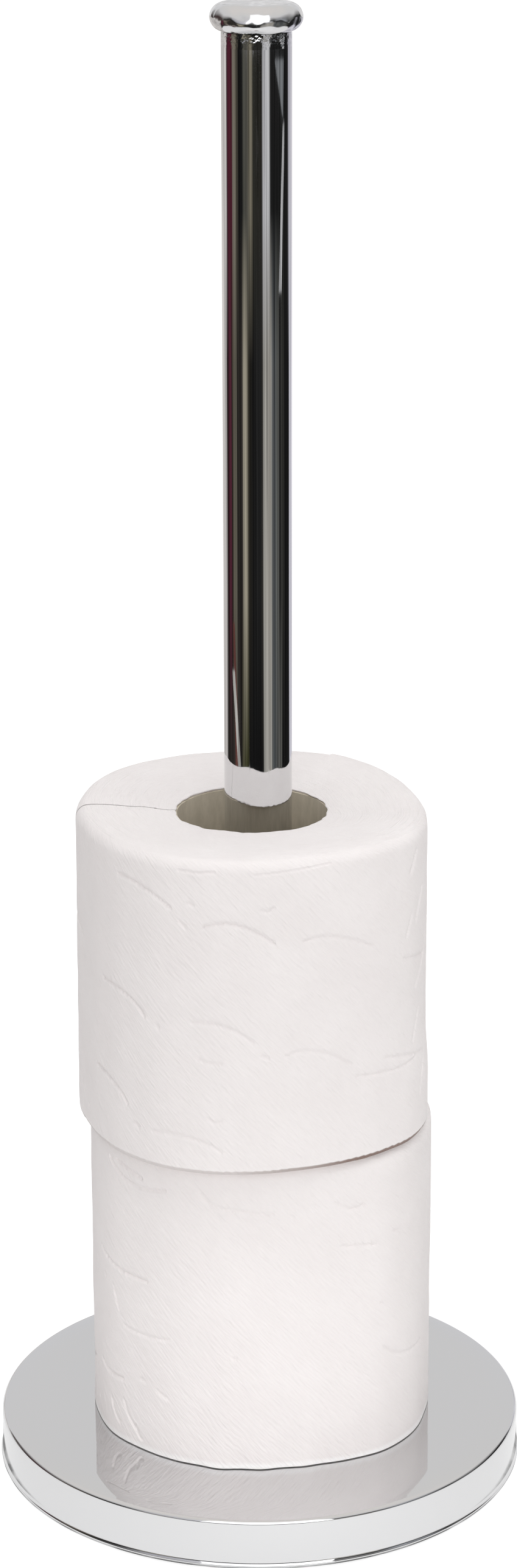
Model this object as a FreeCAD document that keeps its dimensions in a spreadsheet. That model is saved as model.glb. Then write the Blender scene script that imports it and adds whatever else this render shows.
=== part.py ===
import FreeCAD, Part
import math
import os
import types
import Sketcher

# Free-standing holder for spare toilet rolls, drawn in millimetres.
# The origin is the centre of the base on the floor, +Z runs up the post.

doc = FreeCAD.newDocument("toilet_roll_stand")

# Driving dimensions

DRIVING_SIZES = {
    # Base: a pressed cover over a cast weight, standing on a foam pad
    "base_height": 15.6,
    "base_foot_radius": 76.0,
    "cover_wall": 0.8,
    "cover_edge_round": 1.4,
    "cover_crown_width": 7.2,
    "cover_crown_drop": 0.5,
    "cover_bead_radius": 0.8,
    "cover_bead_reach": 0.5,
    "cover_bead_height": 1.8,
    "cover_lip_reach": 4.0,
    "weight_clearance": 0.4,
    "weight_chamfer": 1.0,
    "weight_web": 3.5,
    "counterbore_radius": 12.0,
    "pad_proud": 0.5,
    "pad_thickness": 2.5,
    "pad_clearance": 0.3,
    "pad_hole_radius": 15.0,
    # Post: a plated tube with a threaded insert in each end
    "post_radius": 9.525,
    "post_wall": 1.0,
    "post_length": 399.4,
    "gasket_thickness": 0.8,
    "gasket_inset": 0.2,
    "insert_length": 16.0,
    "insert_clearance": 0.05,
    "insert_chamfer": 0.6,
    "crimp_width": 2.4,
    "crimp_depth": 0.8,
    # Bolt and washers that clamp the post to the base
    "bolt_radius": 4.0,
    "bolt_length": 20.0,
    "bolt_chamfer": 0.8,
    "bolt_head_flats": 13.0,
    "bolt_head_height": 5.3,
    "bolt_hole_clearance": 0.4,
    "thread_clearance": 0.05,
    "washer_radius": 8.0,
    "washer_thickness": 1.6,
    "lock_washer_radius": 6.4,
    "lock_washer_thickness": 2.0,
    "lock_washer_slit": 1.2,
    # Cap: a round-rimmed knob on a stud
    "cap_overhang": 3.03,
    "cap_thickness": 7.6,
    "spigot_length": 3.0,
    "spigot_clearance": 0.1,
    "spigot_gap": 0.5,
    "stud_radius": 3.0,
    "stud_length": 20.0,
    "stud_socket_depth": 7.0,
    # Rolls: paper wound on a board core, a little squashed from being packed in a carton
    "roll_width": 91.6,
    "roll_corner_radius": 43.0,
    "roll_top_round": 4.0,
    "roll_foot_round": 1.2,
    "roll_dish": 2.0,
    "roll_dish_margin": 1.0,
    "roll_seat_gap": 0.3,
    "core_inner_radius": 21.2,
    "core_wall": 0.8,
    "core_recess": 0.6,
    "core_clearance": 0.05,
    "lower_roll_widening": 6.0,
    "lower_roll_deepening": 3.6,
    "lower_roll_turn": 0.0,
    "lower_roll_shift_x": 0.6,
    "lower_roll_shift_y": 0.0,
    "upper_roll_widening": 5.4,
    "upper_roll_deepening": 6.6,
    "upper_roll_turn": 14.0,
    "upper_roll_shift_x": -1.7,
    "upper_roll_shift_y": -1.5,
}

sheet = doc.addObject("Spreadsheet::Sheet", "dim")
for row, (alias, value) in enumerate(DRIVING_SIZES.items(), start=1):
    sheet.set(f"A{row}", alias)
    sheet.set(f"B{row}", str(value))
    sheet.setAlias(f"B{row}", alias)
doc.recompute()


class Size:
    """A size with its value and the expression that ties it to the sheet."""

    def __init__(self, value, text):
        self.value = value
        self.text = text

    def __add__(self, other):
        return Size(self.value + other.value, f"({self.text} + {other.text})")

    def __sub__(self, other):
        return Size(self.value - other.value, f"({self.text} - {other.text})")

    def __mul__(self, factor):
        return Size(self.value * factor, f"({self.text} * {factor})")

    def __truediv__(self, divisor):
        return Size(self.value / divisor, f"({self.text} / {divisor})")


NONE = Size(0, "0")
size = types.SimpleNamespace()
for alias, value in DRIVING_SIZES.items():
    setattr(size, alias, Size(value, f"dim.{alias}"))


# Ways of making a sub-part

def new_body(label):
    """An empty body whose label names its file."""
    body = doc.addObject("PartDesign::Body", label)
    body.Label = label
    return body


def sketch_on(body, role, name):
    """A sketch on one of the body's own origin planes."""
    sketch = body.newObject("Sketcher::SketchObject", name)
    for feature in body.Origin.OriginFeatures:
        if feature.Role == role:
            sketch.AttachmentSupport = (feature, [""])
    sketch.MapMode = "FlatFace"
    return sketch


def dimension(sketch, kind, size_wanted, *where):
    """One dimension of a sketch, bound to the sheet unless it is zero."""
    index = sketch.addConstraint(Sketcher.Constraint(kind, *where, size_wanted.value))
    if size_wanted.value != 0:
        sketch.setExpression(f"Constraints[{index}]", size_wanted.text)


def outline(sketch, corners):
    """A closed outline, counterclockwise, through corners and rounds.

    A corner is (across, up). A round is (across, up, radius), given by its centre, and the
    sides that meet it are tangent to it.
    """
    rounds = [corner if len(corner) == 3 else (*corner, NONE) for corner in corners]
    sides = []
    for here, beyond in zip(rounds, rounds[1:] + rounds[:1]):
        run = beyond[0].value - here[0].value
        rise = beyond[1].value - here[1].value
        lean = math.asin((beyond[2].value - here[2].value) / math.hypot(run, rise))
        heading = math.atan2(rise, run) - lean
        left = FreeCAD.Vector(-math.sin(heading), math.cos(heading), 0)
        start = FreeCAD.Vector(here[0].value, here[1].value, 0) - left * here[2].value
        end = FreeCAD.Vector(beyond[0].value, beyond[1].value, 0) - left * beyond[2].value
        sides.append(sketch.addGeometry(Part.LineSegment(start, end), False))
    for number, (across, up, radius) in enumerate(rounds):
        coming = sides[number - 1]
        leaving = sides[number]
        if radius.value == 0:
            sketch.addConstraint(Sketcher.Constraint("Coincident", coming, 2, leaving, 1))
            dimension(sketch, "DistanceX", across, -1, 1, leaving, 1)
            dimension(sketch, "DistanceY", up, -1, 1, leaving, 1)
            continue
        centre = FreeCAD.Vector(across.value, up.value, 0)
        first = sketch.getPoint(coming, 2) - centre
        last = sketch.getPoint(leaving, 1) - centre
        begin = math.atan2(first.y, first.x)
        turn = (math.atan2(last.y, last.x) - begin) % (2 * math.pi)
        round_shape = Part.Circle(centre, FreeCAD.Vector(0, 0, 1), radius.value)
        bend = sketch.addGeometry(Part.ArcOfCircle(round_shape, begin, begin + turn), False)
        sketch.addConstraint(Sketcher.Constraint("Tangent", coming, 2, bend, 1))
        sketch.addConstraint(Sketcher.Constraint("Tangent", bend, 2, leaving, 1))
        dimension(sketch, "Radius", radius, bend)
        dimension(sketch, "DistanceX", across, -1, 1, bend, 3)
        dimension(sketch, "DistanceY", up, -1, 1, bend, 3)


def circle(sketch, radius):
    """A circle about the sketch's origin."""
    shape = Part.Circle(FreeCAD.Vector(0, 0, 0), FreeCAD.Vector(0, 0, 1), radius.value)
    index = sketch.addGeometry(shape, False)
    sketch.addConstraint(Sketcher.Constraint("Coincident", index, 3, -1, 1))
    dimension(sketch, "Radius", radius, index)


def turned(body, corners):
    """Turn an outline in the body's XZ plane about the body's Z axis."""
    sketch = sketch_on(body, "XZ_Plane", f"{body.Name}_profile")
    outline(sketch, corners)
    feature = body.newObject("PartDesign::Revolution", f"{body.Name}_turned")
    feature.Profile = sketch
    feature.ReferenceAxis = (sketch, ["V_Axis"])
    feature.Angle = 360
    return feature


def padded(body, sketch, height):
    """Extrude a sketch upwards."""
    feature = body.newObject("PartDesign::Pad", f"{sketch.Name}_pad")
    feature.Profile = sketch
    feature.Length = height.value
    feature.setExpression("Length", height.text)
    return feature


def ring(label, outer, inner, height):
    """A flat ring or a tube standing on the body's XY plane."""
    body = new_body(label)
    sketch = sketch_on(body, "XY_Plane", f"{label}_ring")
    circle(sketch, outer)
    circle(sketch, inner)
    padded(body, sketch, height)
    return body


def place(body, across=NONE, back=NONE, up=NONE):
    """Put a body where it belongs on the holder."""
    body.Placement.Base = FreeCAD.Vector(across.value, back.value, up.value)
    for axis, distance in (("x", across), ("y", back), ("z", up)):
        body.setExpression(f"Placement.Base.{axis}", distance.text)


# Levels and radii that several pieces share

cover_height = size.base_height - size.pad_proud
cover_rim_radius = size.base_foot_radius - size.cover_bead_reach
crown_start = cover_rim_radius - size.cover_edge_round - size.cover_crown_width
lip_inner_radius = size.base_foot_radius - size.cover_lip_reach
lip_top = size.pad_proud + size.cover_wall
weight_top = size.base_height - size.cover_wall
weight_radius = cover_rim_radius - size.cover_wall - size.weight_clearance
pad_radius = lip_inner_radius - size.pad_clearance
washer_top = weight_top - size.weight_web
head_top = washer_top - size.washer_thickness - size.lock_washer_thickness
bolt_hole_radius = size.bolt_radius + size.bolt_hole_clearance
post_bottom = size.base_height + size.gasket_thickness
post_top = post_bottom + size.post_length
post_bore_radius = size.post_radius - size.post_wall
cap_radius = size.post_radius + size.cap_overhang
lower_roll_bottom = size.base_height + size.roll_seat_gap
upper_roll_bottom = lower_roll_bottom + size.roll_width + size.roll_seat_gap


# Base

def make_base_cover():
    """Pressed sheet: flat top that falls a little to a round rim, straight wall, bead round the
    foot, and a lip rolled in under the weight."""
    body = new_body("base_cover")
    bead = size.cover_bead_radius
    edge = size.cover_edge_round
    width = size.cover_crown_width
    drop = size.cover_crown_drop
    crown = Size(
        (width.value ** 2 + drop.value ** 2) / (2 * drop.value) * 0.99 + edge.value,
        f"(({width.text} ^ 2 + {drop.text} ^ 2) / (2 * {drop.text}) * 0.99 + {edge.text})",
    )
    under = cover_height - size.cover_wall
    turned(body, [
        (lip_inner_radius, NONE),
        (size.base_foot_radius - bead, bead, bead),
        (cover_rim_radius, size.cover_bead_height),
        (cover_rim_radius - edge, cover_height - drop - edge, edge),
        (crown_start, cover_height - crown, crown),
        (bolt_hole_radius, cover_height),
        (bolt_hole_radius, under),
        (crown_start, under),
        (cover_rim_radius - size.cover_wall, under - drop),
        (cover_rim_radius - size.cover_wall, size.cover_wall),
        (lip_inner_radius, size.cover_wall),
    ])
    place(body, up=size.pad_proud)


def make_base_weight():
    """Cast disc with a shallow recess for the pad and a counterbore for the bolt's head."""
    body = new_body("base_weight")
    thickness = weight_top - lip_top
    recess_depth = size.pad_thickness - lip_top
    recess_radius = pad_radius + size.pad_clearance
    counterbore_roof = thickness - size.weight_web
    turned(body, [
        (recess_radius, NONE),
        (weight_radius, NONE),
        (weight_radius, thickness - size.cover_crown_drop - size.weight_chamfer),
        (weight_radius - size.weight_chamfer, thickness - size.cover_crown_drop),
        (crown_start, thickness),
        (bolt_hole_radius, thickness),
        (bolt_hole_radius, counterbore_roof),
        (size.counterbore_radius, counterbore_roof),
        (size.counterbore_radius, recess_depth),
        (recess_radius, recess_depth),
    ])
    place(body, up=lip_top)


def make_base_pad():
    """Foam ring under the weight, open in the middle for the bolt."""
    body = ring("base_pad", pad_radius, size.pad_hole_radius, size.pad_thickness)
    place(body)


# Post

def make_post_gasket():
    """Thin ring between the tube's end and the plated cover."""
    outer = size.post_radius - size.gasket_inset
    body = ring("post_gasket", outer, bolt_hole_radius, size.gasket_thickness)
    place(body, up=size.base_height)


def make_post_tube():
    """Straight tube."""
    body = ring("post_tube", size.post_radius, post_bore_radius, size.post_length)
    place(body, up=post_bottom)


def make_insert(label, thread_radius, bottom):
    """Threaded plug with a groove that the tube's wall is crimped into."""
    body = new_body(label)
    outer = post_bore_radius - size.insert_clearance
    bore = thread_radius + size.thread_clearance
    lead = size.insert_chamfer
    groove_bottom = (size.insert_length - size.crimp_width) / 2
    groove_top = (size.insert_length + size.crimp_width) / 2
    turned(body, [
        (bore + lead, NONE),
        (outer - lead, NONE),
        (outer, lead),
        (outer, groove_bottom),
        (outer - size.crimp_depth, groove_bottom),
        (outer - size.crimp_depth, groove_top),
        (outer, groove_top),
        (outer, size.insert_length - lead),
        (outer - lead, size.insert_length),
        (bore + lead, size.insert_length),
        (bore, size.insert_length - lead),
        (bore, lead),
    ])
    place(body, up=bottom)


# Bolt and washers

def make_clamp_bolt():
    """Hexagon bolt, its head down in the weight's counterbore."""
    body = new_body("clamp_bolt")
    corner_radius = size.bolt_head_flats / math.sqrt(3)
    head = sketch_on(body, "XY_Plane", "clamp_bolt_hexagon")
    points = []
    for step in range(6):
        angle = math.radians(60 * step)
        points.append(FreeCAD.Vector(math.cos(angle), math.sin(angle), 0) * corner_radius.value)
    sides = []
    for here, beyond in zip(points, points[1:] + points[:1]):
        sides.append(head.addGeometry(Part.LineSegment(here, beyond), False))
    guide = Part.Circle(FreeCAD.Vector(0, 0, 0), FreeCAD.Vector(0, 0, 1), corner_radius.value)
    round_guide = head.addGeometry(guide, True)
    head.addConstraint(Sketcher.Constraint("Coincident", round_guide, 3, -1, 1))
    for number, side in enumerate(sides):
        head.addConstraint(Sketcher.Constraint("Coincident", sides[number - 1], 2, side, 1))
        head.addConstraint(Sketcher.Constraint("PointOnObject", side, 1, round_guide))
    for side in sides[1:]:
        head.addConstraint(Sketcher.Constraint("Equal", sides[0], side))
    head.addConstraint(Sketcher.Constraint("PointOnObject", sides[0], 1, -1))
    dimension(head, "Radius", corner_radius, round_guide)
    padded(body, head, size.bolt_head_height)

    shank_sketch = sketch_on(body, "XY_Plane", "clamp_bolt_shank")
    circle(shank_sketch, size.bolt_radius)
    tip = size.bolt_head_height + size.bolt_length
    shank = padded(body, shank_sketch, tip)
    doc.recompute()
    tip_edges = []
    for number, edge in enumerate(shank.Shape.Edges, start=1):
        if edge.BoundBox.ZMin > tip.value - size.bolt_chamfer.value:
            tip_edges.append(f"Edge{number}")
    chamfer = body.newObject("PartDesign::Chamfer", "clamp_bolt_tip")
    chamfer.Base = (shank, tip_edges)
    chamfer.Size = size.bolt_chamfer.value
    chamfer.setExpression("Size", size.bolt_chamfer.text)

    bevel = sketch_on(body, "XZ_Plane", "clamp_bolt_bevel")
    inner_radius = size.bolt_head_flats / 2
    outline(bevel, [
        (inner_radius, NONE),
        (corner_radius, NONE),
        (corner_radius, (corner_radius - inner_radius) * math.tan(math.radians(30))),
    ])
    groove = body.newObject("PartDesign::Groove", "clamp_bolt_bevelled")
    groove.Profile = bevel
    groove.ReferenceAxis = (bevel, ["V_Axis"])
    groove.Angle = 360
    place(body, up=head_top - size.bolt_head_height)


def make_clamp_washer():
    """Plain washer against the weight."""
    body = ring("clamp_washer", size.washer_radius, bolt_hole_radius, size.washer_thickness)
    place(body, up=washer_top - size.washer_thickness)


def make_clamp_lock_washer():
    """Split spring washer under the bolt's head."""
    thickness = size.lock_washer_thickness
    body = ring("clamp_lock_washer", size.lock_washer_radius, bolt_hole_radius, thickness)
    slit = sketch_on(body, "XY_Plane", "clamp_lock_washer_slit")
    half = size.lock_washer_slit / 2
    reach = size.lock_washer_radius + size.lock_washer_slit
    outline(slit, [
        (NONE, half * -1),
        (reach, half * -1),
        (reach, half),
        (NONE, half),
    ])
    pocket = body.newObject("PartDesign::Pocket", "clamp_lock_washer_split")
    pocket.Profile = slit
    pocket.Type = "ThroughAll"
    pocket.Reversed = True
    place(body, up=head_top)


# Cap

def make_cap():
    """Knob with a fully rounded rim, a spigot in the tube and a blind hole for the stud."""
    body = new_body("cap")
    rim = size.cap_thickness / 2
    spigot_radius = post_bore_radius - size.spigot_clearance
    socket_radius = size.stud_radius + size.thread_clearance
    turned(body, [
        (socket_radius, NONE),
        (spigot_radius, NONE),
        (spigot_radius, size.spigot_length),
        (cap_radius - rim, size.spigot_length + rim, rim),
        (NONE, size.spigot_length + size.cap_thickness),
        (NONE, size.stud_socket_depth),
        (socket_radius, size.stud_socket_depth),
    ])
    place(body, up=post_top - size.spigot_length)


def make_cap_stud():
    """Threaded stud between the cap and the upper insert."""
    body = new_body("cap_stud")
    sketch = sketch_on(body, "XY_Plane", "cap_stud_round")
    circle(sketch, size.stud_radius)
    padded(body, sketch, size.stud_length)
    socket_end = post_top - size.spigot_length + size.stud_socket_depth
    place(body, up=socket_end - size.stud_length)


# Rolls

def rounded(body, base, level, bore, radius, name):
    """Round the outer edges of a roll at one level."""
    doc.recompute()
    edges = []
    for number, edge in enumerate(base.Shape.Edges, start=1):
        box = edge.BoundBox
        corner = edge.Vertexes[0].Point
        flat = abs(box.ZMin - level.value) < radius.value / 10 and box.ZLength < radius.value / 10
        if flat and math.hypot(corner.x, corner.y) > bore.value + radius.value:
            edges.append(f"Edge{number}")
    feature = body.newObject("PartDesign::Fillet", name)
    feature.Base = (base, edges)
    feature.Radius = radius.value
    feature.setExpression("Radius", radius.text)
    return feature


def make_roll(name, widening, deepening, turn, across, back, bottom):
    """A board core and the paper wound on it, squashed out of round, with soft edges.

    The plan is four rounds of the corner radius, set apart by the widening and the deepening.
    """
    core_radius = size.core_inner_radius + size.core_wall
    core_length = size.roll_width - size.roll_dish - size.core_recess * 2
    core = ring(f"{name}_core", core_radius, size.core_inner_radius, core_length)
    place(core, across, back, bottom + size.core_recess)

    paper = new_body(f"{name}_paper")
    bore = core_radius + size.core_clearance
    corner = size.roll_corner_radius
    plan = sketch_on(paper, "XY_Plane", f"{name}_plan")
    angle = math.radians(turn.value)
    rounds = []
    for right, front in ((-1, -1), (1, -1), (1, 1), (-1, 1)):
        wide = widening * right
        deep = deepening * front
        rounds.append((
            Size(
                wide.value * math.cos(angle) - deep.value * math.sin(angle),
                f"({wide.text} * cos({turn.text}) - {deep.text} * sin({turn.text}))",
            ),
            Size(
                wide.value * math.sin(angle) + deep.value * math.cos(angle),
                f"({wide.text} * sin({turn.text}) + {deep.text} * cos({turn.text}))",
            ),
            corner,
        ))
    outline(plan, rounds)
    circle(plan, bore)
    wound = padded(paper, plan, size.roll_width)
    top = size.roll_width
    soft_top = rounded(paper, wound, top, bore, size.roll_top_round, f"{name}_top_round")
    rounded(paper, soft_top, NONE, bore, size.roll_foot_round, f"{name}_foot_round")
    dish = sketch_on(paper, "XZ_Plane", f"{name}_dish")
    outline(dish, [
        (bore, top - size.roll_dish),
        (corner - size.roll_dish_margin, top),
        (bore, top),
    ])
    dished = paper.newObject("PartDesign::Groove", f"{name}_dished")
    dished.Profile = dish
    dished.ReferenceAxis = (dish, ["V_Axis"])
    dished.Angle = 360
    place(paper, across, back, bottom)


make_base_cover()
make_base_weight()
make_base_pad()
make_post_gasket()
make_post_tube()
make_insert("post_foot_insert", size.bolt_radius, post_bottom)
upper_insert_top = post_top - size.spigot_length - size.spigot_gap
make_insert("post_top_insert", size.stud_radius, upper_insert_top - size.insert_length)
make_clamp_bolt()
make_clamp_washer()
make_clamp_lock_washer()
make_cap()
make_cap_stud()
make_roll(
    "lower_roll",
    size.lower_roll_widening,
    size.lower_roll_deepening,
    size.lower_roll_turn,
    size.lower_roll_shift_x,
    size.lower_roll_shift_y,
    lower_roll_bottom,
)
make_roll(
    "upper_roll",
    size.upper_roll_widening,
    size.upper_roll_deepening,
    size.upper_roll_turn,
    size.upper_roll_shift_x,
    size.upper_roll_shift_y,
    upper_roll_bottom,
)
doc.recompute()

# Check every object, then write each sub-part

for thing in doc.Objects:
    if "Invalid" in thing.State or "Error" in thing.State:
        raise RuntimeError(f"{thing.Label} did not build")

bodies = [thing for thing in doc.Objects if thing.TypeId == "PartDesign::Body"]
for body in bodies:
    if body.Shape.isNull() or not body.Shape.isValid() or len(body.Shape.Solids) != 1:
        raise RuntimeError(f"{body.Label} is not one sound solid")

os.makedirs("parts", exist_ok=True)
for body in bodies:
    body.Shape.exportStep(f"parts/{body.Label}.step")
    print(f"{body.Label}: {body.Shape.Volume / 1000:.2f} cubic centimetres")
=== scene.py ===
import math

import bpy
import numpy as np
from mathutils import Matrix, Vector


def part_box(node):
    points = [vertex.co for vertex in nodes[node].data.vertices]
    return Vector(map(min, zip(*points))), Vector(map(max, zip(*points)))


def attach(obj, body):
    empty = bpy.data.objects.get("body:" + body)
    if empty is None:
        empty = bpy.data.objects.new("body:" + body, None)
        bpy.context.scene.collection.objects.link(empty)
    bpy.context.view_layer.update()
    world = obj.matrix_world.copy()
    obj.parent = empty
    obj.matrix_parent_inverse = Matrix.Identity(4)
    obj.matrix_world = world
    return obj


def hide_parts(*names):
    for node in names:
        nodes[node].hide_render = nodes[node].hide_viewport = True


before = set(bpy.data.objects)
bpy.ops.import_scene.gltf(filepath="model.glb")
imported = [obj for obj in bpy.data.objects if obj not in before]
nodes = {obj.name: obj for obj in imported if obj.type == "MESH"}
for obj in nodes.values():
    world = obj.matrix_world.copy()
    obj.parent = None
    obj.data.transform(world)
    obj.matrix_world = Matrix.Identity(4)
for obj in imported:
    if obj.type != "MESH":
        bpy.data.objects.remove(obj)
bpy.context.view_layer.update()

MM = 0.001
WALL_MAP = "wound"


# How pieces are picked up and put down while they are modelled.

def put_down():
    """Leaves edit mode with nothing selected."""
    if bpy.context.object and bpy.context.object.mode != "OBJECT":
        bpy.ops.object.mode_set(mode="OBJECT")
    bpy.ops.object.select_all(action="DESELECT")


def pick_up(piece):
    put_down()
    piece.select_set(True)
    bpy.context.view_layer.objects.active = piece


def open_mesh(piece, points=True):
    """Edit mode, picking points or faces, with everything selected."""
    pick_up(piece)
    bpy.ops.object.mode_set(mode="EDIT")
    bpy.context.tool_settings.mesh_select_mode = (points, False, not points)
    bpy.ops.mesh.select_all(action="SELECT")


def points_of(piece):
    places = np.zeros(len(piece.data.vertices) * 3)
    piece.data.vertices.foreach_get("co", places)
    return places.reshape(-1, 3)


def set_points(piece, places):
    piece.data.vertices.foreach_set("co", places.ravel())
    piece.data.update()


def pick_points(piece, chosen):
    """Edit mode with only the chosen points selected."""
    pick_up(piece)
    piece.data.polygons.foreach_set("select", [False] * len(piece.data.polygons))
    piece.data.edges.foreach_set("select", [False] * len(piece.data.edges))
    piece.data.vertices.foreach_set("select", chosen)
    bpy.ops.object.mode_set(mode="EDIT")
    bpy.context.tool_settings.mesh_select_mode = (True, False, False)


def pick_faces(piece, chosen):
    """Edit mode with only the chosen faces selected."""
    open_mesh(piece, points=False)
    bpy.ops.mesh.select_all(action="DESELECT")
    bpy.ops.object.mode_set(mode="OBJECT")
    piece.data.polygons.foreach_set("select", chosen)
    bpy.ops.object.mode_set(mode="EDIT")


def apply_all(piece):
    pick_up(piece)
    for step in list(piece.modifiers):
        bpy.ops.object.modifier_apply(modifier=step.name)


# The camera stands where the photograph was taken from: metres, degrees (radians for the roll), and the
# photograph's own pixels.
CAMERA_PLACE = (0, -1.0475, 0.5471)
CAMERA_DOWN = 15.793
CAMERA_ROLL = -0.0024
PHOTO_WIDTH, PHOTO_HEIGHT = 849, 2576
FOCAL_LENGTH = 6428
PHOTO_CENTRE = (423.36, 1028)
SENSOR = 36.0


def set_camera():
    view = bpy.data.cameras.new("camera")
    view.sensor_width = SENSOR
    view.lens = SENSOR * FOCAL_LENGTH / PHOTO_HEIGHT
    view.shift_x = (PHOTO_WIDTH / 2 - PHOTO_CENTRE[0]) / PHOTO_HEIGHT
    view.shift_y = (PHOTO_CENTRE[1] - PHOTO_HEIGHT / 2) / PHOTO_HEIGHT
    view.clip_start = 0.05
    camera = bpy.data.objects.new("camera", view)
    camera.location = CAMERA_PLACE
    camera.rotation_euler = (math.radians(90 - CAMERA_DOWN), 0, 0)
    camera.rotation_euler.rotate_axis("Z", CAMERA_ROLL)
    bpy.context.scene.collection.objects.link(camera)
    bpy.context.scene.camera = camera


# Node materials.

def new_finish(name):
    finish = bpy.data.materials.new(name)
    finish.use_nodes = True
    return finish, finish.node_tree, finish.node_tree.nodes["Principled BSDF"]


def add(tree, kind, values=None, **settings):
    """A node with its settings, and numbers in its named or numbered inputs."""
    node = tree.nodes.new(kind)
    for name, value in settings.items():
        setattr(node, name, value)
    for name, value in (values or {}).items():
        node.inputs[name].default_value = value
    return node


def join(tree, start, end):
    tree.links.new(start, end)


def ramp(tree, source, stops):
    """A colour ramp from stops of (place, colour or grey)."""
    node = tree.nodes.new("ShaderNodeValToRGB")
    band = node.color_ramp.elements
    while len(band) > 1:
        band.remove(band[-1])
    for i, (place, shade) in enumerate(stops):
        stop = band[0] if i == 0 else band.new(place)
        stop.position = place
        shade = (shade, shade, shade) if isinstance(shade, (int, float)) else shade
        stop.color = (*shade, 1)
    join(tree, source, node.inputs["Fac"])
    return node.outputs["Color"]


def put(tree, value, entry):
    """Sets an input to a number, or joins an output to it."""
    if isinstance(value, (int, float)):
        entry.default_value = value
    else:
        join(tree, value, entry)


def times(tree, first, second):
    product = add(tree, "ShaderNodeMath", operation="MULTIPLY")
    put(tree, first, product.inputs[0])
    put(tree, second, product.inputs[1])
    return product.outputs[0]


def blend(tree, share, first, second, how="MIX"):
    """Two colours mixed or multiplied; share is a number or an output."""
    both = add(tree, "ShaderNodeMix", data_type="RGBA", blend_type=how)
    put(tree, share, both.inputs["Factor"])
    for name, colour in (("A", first), ("B", second)):
        if isinstance(colour, tuple):
            both.inputs[name].default_value = (*colour, 1)
        else:
            join(tree, colour, both.inputs[name])
    return both.outputs["Result"]


def own_place(tree):
    """A point's place on its own piece, in metres."""
    return tree.nodes.new("ShaderNodeTexCoord").outputs["Object"]


def wall_place(tree):
    """A point's place on a roll's unrolled wall, in metres."""
    return add(tree, "ShaderNodeUVMap", uv_map=WALL_MAP).outputs["UV"]


def split(tree, place):
    """The X, Y and Z outputs of a place."""
    parts = tree.nodes.new("ShaderNodeSeparateXYZ")
    join(tree, place, parts.inputs[0])
    return parts.outputs


def between(tree, source, start, end, low=0, high=1):
    """Runs from low to high while the source runs from start to end."""
    values = {"From Min": start, "From Max": end, "To Min": low, "To Max": high}
    node = add(tree, "ShaderNodeMapRange", values)
    join(tree, source, node.inputs["Value"])
    return node.outputs[0]


def mix_numbers(tree, share, first, second):
    """Two numbers or outputs mixed by an output."""
    both = add(tree, "ShaderNodeMix", data_type="FLOAT")
    join(tree, share, both.inputs["Factor"])
    put(tree, first, both.inputs["A"])
    put(tree, second, both.inputs["B"])
    return both.outputs["Result"]


def grain(tree, scale, stretch=(1, 1, 1), turn=(0, 0, 0), detail=4, rough=0.5, place=own_place):
    """Noise on the piece, stretched and turned; scale is in bumps per metre."""
    turned = add(tree, "ShaderNodeMapping", {"Rotation": turn, "Scale": stretch}, vector_type="TEXTURE")
    speckle = add(tree, "ShaderNodeTexNoise", {"Scale": scale, "Detail": detail, "Roughness": rough})
    join(tree, place(tree), turned.inputs["Vector"])
    join(tree, turned.outputs["Vector"], speckle.inputs["Vector"])
    return speckle.outputs["Fac"]


def relief(tree, shader, height, depth, under=None):
    """Bump of a depth in metres, on top of the one under it."""
    node = add(tree, "ShaderNodeBump", {"Strength": 1.0, "Distance": depth})
    join(tree, height, node.inputs["Height"])
    if under:
        join(tree, under, node.inputs["Normal"])
    join(tree, node.outputs["Normal"], shader.inputs["Normal"])
    return node.outputs["Normal"]


def chrome_plate(name, wave, wave_depth, uneven_top=None, gloss=0.03, hairline_turn=(0, 0, 0)):
    """Bright chrome: a mirror with slow waves of the pressed steel under it and fine wiping scratches.

    Between the uneven_top heights the plating grows rough towards the joint with the cap.
    """
    finish, tree, shader = new_finish(name)
    shader.inputs["Base Color"].default_value = (0.7, 0.7, 0.705, 1)
    shader.inputs["Metallic"].default_value = 1
    scratches = grain(tree, 900, stretch=(1, 1, 30), turn=hairline_turn, detail=2)
    fine = ramp(tree, scratches, [(0.0, gloss), (0.62, gloss), (0.72, gloss + 0.045), (0.8, gloss)])
    join(tree, fine, shader.inputs["Roughness"])
    under = relief(tree, shader, grain(tree, wave, detail=1), wave_depth)
    under = relief(tree, shader, scratches, 0.0000015, under=under)
    if uneven_top:
        near_cap = between(tree, split(tree, own_place(tree))["Z"], *uneven_top)
        relief(tree, shader, times(tree, near_cap, grain(tree, 420, detail=3)), 0.00028, under=under)
    return finish


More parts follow.
